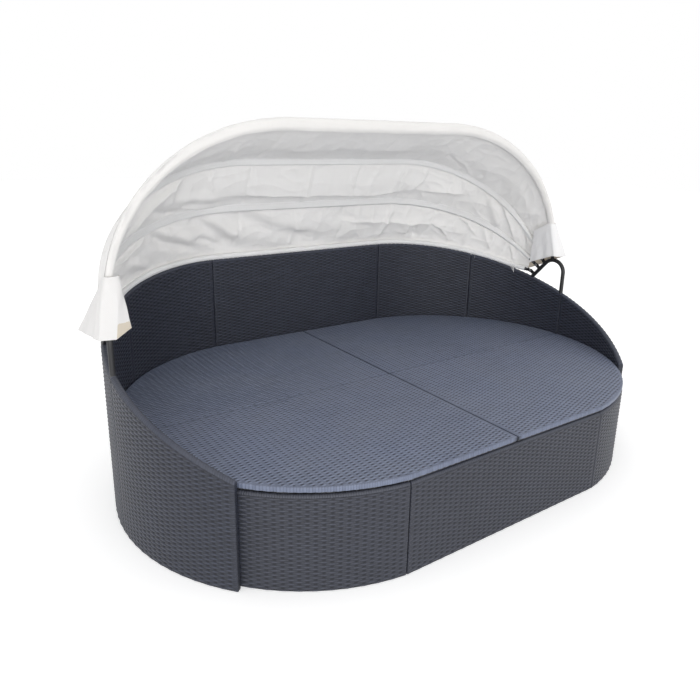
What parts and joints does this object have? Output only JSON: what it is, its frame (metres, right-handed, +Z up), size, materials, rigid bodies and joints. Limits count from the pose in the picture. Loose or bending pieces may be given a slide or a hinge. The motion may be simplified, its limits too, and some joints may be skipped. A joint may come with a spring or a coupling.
{
  "type": "outdoor daybed with canopy",
  "caption": "Low outdoor daybed with rounded ends, a wrap-around woven backrest that slopes down to the front, and a fold-back fabric canopy on hinged bows",
  "frame": {"origin": "on the floor, under the centre of the overall bounding box", "axes": "+X along the bed to the right-hand end seen from the front, +Y to the backrest, +Z up"},
  "size_m": [2.1844, 1.3659, 1.2879],
  "materials": {
    "shell_weave": "charcoal flat plastic strands, horizontal weave on upright stakes",
    "skirt_weave": "charcoal flat plastic strands, horizontal weave on upright stakes",
    "seat_weave": "charcoal flat plastic strands that catch the sky, satin",
    "frame": "black powder coat, satin",
    "bolt": "plain steel",
    "glide": "black plastic",
    "canopy": "off-white woven outdoor cloth, matt"
  },
  "bodies": {
    "daybed_frame": {"skirt_front_weave": "skirt_weave", "skirt_front_frame": "frame", "skirt_left_weave": "skirt_weave", "skirt_left_frame": "frame", "skirt_right_weave": "skirt_weave", "skirt_right_frame": "frame", "shell_back_weave": "shell_weave", "shell_back_frame": "frame", "shell_rear_left_weave": "shell_weave", "shell_rear_left_frame": "frame", "shell_side_left_weave": "shell_weave", "shell_side_left_frame": "frame", "shell_arm_left_weave": "shell_weave", "shell_arm_left_frame": "frame", "shell_rear_right_weave": "shell_weave", "shell_rear_right_frame": "frame", "shell_side_right_weave": "shell_weave", "shell_side_right_frame": "frame", "shell_arm_right_weave": "shell_weave", "shell_arm_right_frame": "frame", "seat_front_left_weave": "seat_weave", "seat_front_left_frame": "frame", "seat_rear_left_weave": "seat_weave", "seat_rear_left_frame": "frame", "seat_front_right_weave": "seat_weave", "seat_front_right_frame": "frame", "seat_rear_right_weave": "seat_weave", "seat_rear_right_frame": "frame", "rail_front": "frame", "rail_back": "frame", "rail_corner_left": "frame", "rail_corner_right": "frame", "rail_end_left": "frame", "rail_end_right": "frame", "beam_long": "frame", "beam_front": "frame", "beam_back": "frame", "bracket_left": "frame", "bracket_right": "frame", "bow_rear": "frame", "bow_rear_bolt_left": "bolt", "bow_rear_bolt_right": "bolt", "bow_second_bolt_left": "bolt", "bow_second_bolt_right": "bolt", "bow_third_bolt_left": "bolt", "bow_third_bolt_right": "bolt", "bow_front_bolt_left": "bolt", "bow_front_bolt_right": "bolt", "foot_left": "glide", "foot_centre": "glide", "foot_right": "glide"},
    "second_bow": {"bow_second": "frame", "canopy_gore_rear": "canopy"},
    "third_bow": {"bow_third": "frame", "canopy_gore_middle": "canopy"},
    "front_bow": {"bow_front": "frame", "canopy_gore_front": "canopy", "canopy_front_hem": "canopy", "cuff_left": "canopy", "cuff_right": "canopy"}
  },
  "joints": [
    {"name": "front_bow_fold", "type": "hinge", "parent": "daybed_frame", "child": "front_bow", "pos_m": [0, 0.05785, 0.70288], "axis": [-1, 0, 0], "range_deg": [0, 76.4], "deforming": ["canopy_gore_front", "cuff_left", "cuff_right"]},
    {"name": "third_bow_fold", "type": "hinge", "parent": "daybed_frame", "child": "third_bow", "pos_m": [0, 0.11245, 0.6767], "axis": [-1, 0, 0], "range_deg": [0, 44.1], "deforming": ["canopy_gore_middle"]},
    {"name": "second_bow_fold", "type": "hinge", "parent": "daybed_frame", "child": "second_bow", "pos_m": [0, 0.14085, 0.64326], "axis": [-1, 0, 0], "range_deg": [0, 22.1], "deforming": ["canopy_gore_rear"]}
  ],
  "couplings": [
    {"joint": "third_bow_fold", "follows": "front_bow_fold", "ratio": 0.576},
    {"joint": "second_bow_fold", "follows": "front_bow_fold", "ratio": 0.288}
  ]
}
